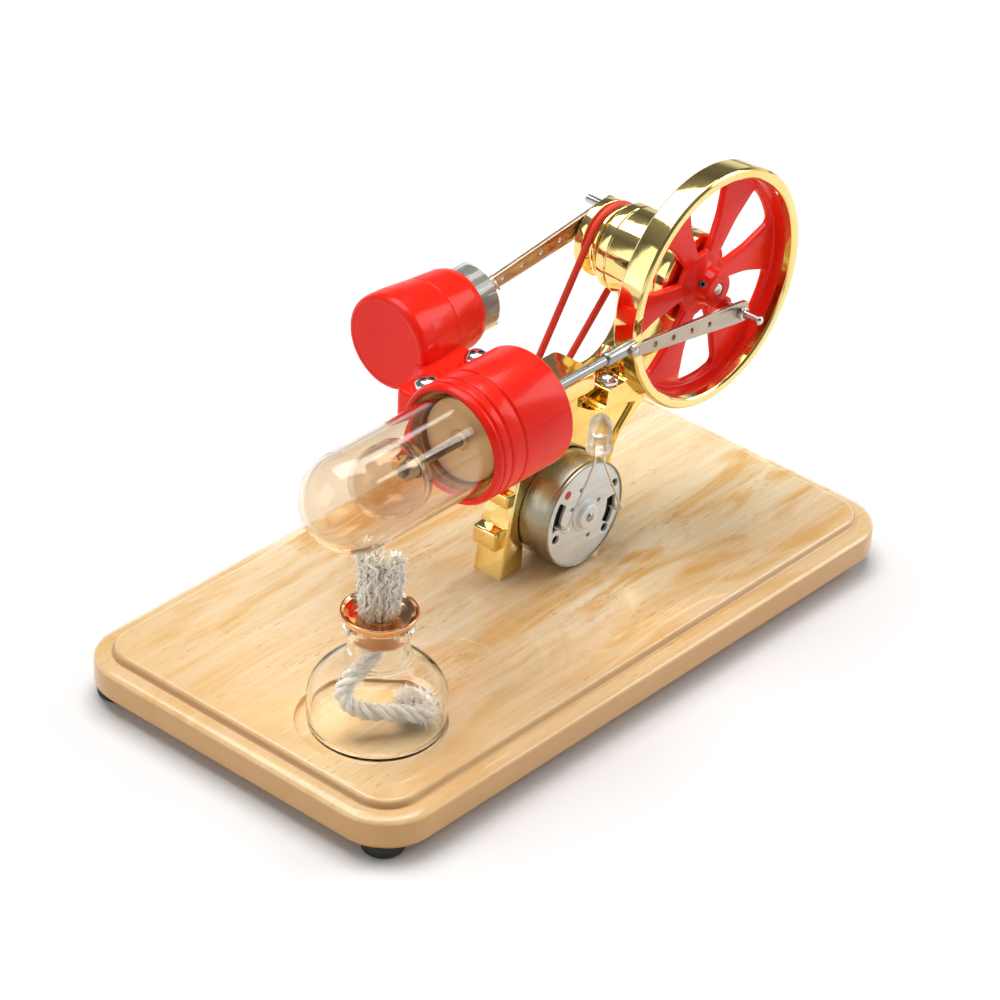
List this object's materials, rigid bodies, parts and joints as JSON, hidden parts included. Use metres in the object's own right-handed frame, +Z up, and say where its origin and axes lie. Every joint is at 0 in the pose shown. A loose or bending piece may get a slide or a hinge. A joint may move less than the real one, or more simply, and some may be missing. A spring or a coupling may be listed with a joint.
{
  "type": "stirling engine model",
  "caption": "Tabletop hot-air engine on a wooden board: spirit burner under a glass displacer tube, glass power piston, spoked flywheel, belt-driven generator motor and indicator lamp.",
  "frame": {"origin": "centre of the board's outline, on the surface its rubber feet stand on", "axes": "+Z up, +X along the board from the burner end to the flywheel end, +Y from the displacer side to the power piston side"},
  "size_m": [0.162, 0.09, 0.0944],
  "materials": {
    "board_wood": "pale close-grained wood under gloss varnish",
    "foot_rubber": "matt black rubber",
    "screw_chrome": "bright plated steel",
    "polished_brass": "mirror-polished gold plating",
    "bearing_steel": "ground steel",
    "red_enamel": "deep gloss red enamel",
    "clear_glass": "clear borosilicate glass",
    "seal_rubber": "orange silicone rubber",
    "graphite": "machined graphite",
    "turned_aluminium": "turned aluminium, tinted by flame",
    "steel": "satin nickel-plated steel",
    "dark_steel": "black oxide steel",
    "belt_rubber": "red round rubber cord",
    "motor_steel": "zinc-plated pressed steel",
    "magnet": "dark ferrite",
    "rotor_iron": "laminated iron with copper windings",
    "lamp_resin": "water-clear resin",
    "copper_collar": "polished copper",
    "wick_cotton": "white cotton strands"
  },
  "bodies": {
    "frame": {"base_board": "board_wood", "rubber_feet": "foot_rubber", "base_screws": "screw_chrome", "stand_frame": "polished_brass", "stand_deck": "polished_brass", "bearing_housing": "polished_brass", "ball_bearings": "bearing_steel", "cylinder_block": "red_enamel", "displacer_cylinder": "red_enamel", "power_cylinder": "red_enamel", "block_screws": "screw_chrome", "stand_screw": "screw_chrome", "hot_tube": "clear_glass", "tube_seals": "seal_rubber", "rod_bush": "polished_brass", "glass_cylinder": "clear_glass", "drive_belt": "belt_rubber", "motor_can": "motor_steel", "motor_magnets": "magnet", "motor_end_plate": "motor_steel", "motor_terminals": "screw_chrome", "led_lens": "lamp_resin", "led_legs": "screw_chrome"},
    "crank": {"crankshaft": "steel", "flywheel_rim": "polished_brass", "flywheel_web": "red_enamel", "flywheel_grub_screw": "dark_steel", "drive_pulley": "polished_brass"},
    "rotor": {"motor_rotor": "rotor_iron", "motor_shaft": "steel", "motor_pulley": "polished_brass"},
    "displacer": {"displacer_bulb": "clear_glass", "displacer_plug": "turned_aluminium", "displacer_rod": "steel", "rod_end": "steel"},
    "displacer_link": {"displacer_conrod": "steel", "displacer_crank_pin": "steel"},
    "piston": {"power_piston": "graphite", "wrist_pin": "steel"},
    "power_link": {"power_conrod": "steel", "power_crank_pin": "steel"},
    "burner": {"burner_bottle": "clear_glass", "burner_collar": "copper_collar", "burner_stopper": "seal_rubber", "burner_wick": "wick_cotton", "wick_coil": "wick_cotton"}
  },
  "joints": [
    {"name": "crank_spin", "type": "hinge", "parent": "frame", "child": "crank", "pos_m": [0.0506, 0, 0.0672], "axis": [0, 1, 0], "continuous": true},
    {"name": "motor_spin", "type": "hinge", "parent": "frame", "child": "rotor", "pos_m": [0.0163, 0, 0.0243], "axis": [0, 1, 0], "continuous": true},
    {"name": "displacer_slide", "type": "slide", "parent": "frame", "child": "displacer", "axis": [1, 0, 0], "range_m": [-0.00955, 0.00244]},
    {"name": "displacer_link_swing", "type": "hinge", "parent": "displacer", "child": "displacer_link", "pos_m": [0.01915, -0.0188, 0.0672], "axis": [0, -1, 0], "range_deg": [-1.5, 18.2]},
    {"name": "piston_slide", "type": "slide", "parent": "frame", "child": "piston", "axis": [1, 0, 0], "range_m": [-0.0097, 0.00229]},
    {"name": "power_link_swing", "type": "hinge", "parent": "piston", "child": "power_link", "pos_m": [0.0083, 0.019, 0.0672], "axis": [0, -1, 0], "range_deg": [-13.6, 1.35]},
    {"name": "burner_lift", "type": "slide", "parent": "frame", "child": "burner", "axis": [0, 0, 1], "range_m": [0, 0.0018]}
  ],
  "couplings": [
    {"joint": "motor_spin", "follows": "crank_spin", "ratio": 3.1538}
  ]
}
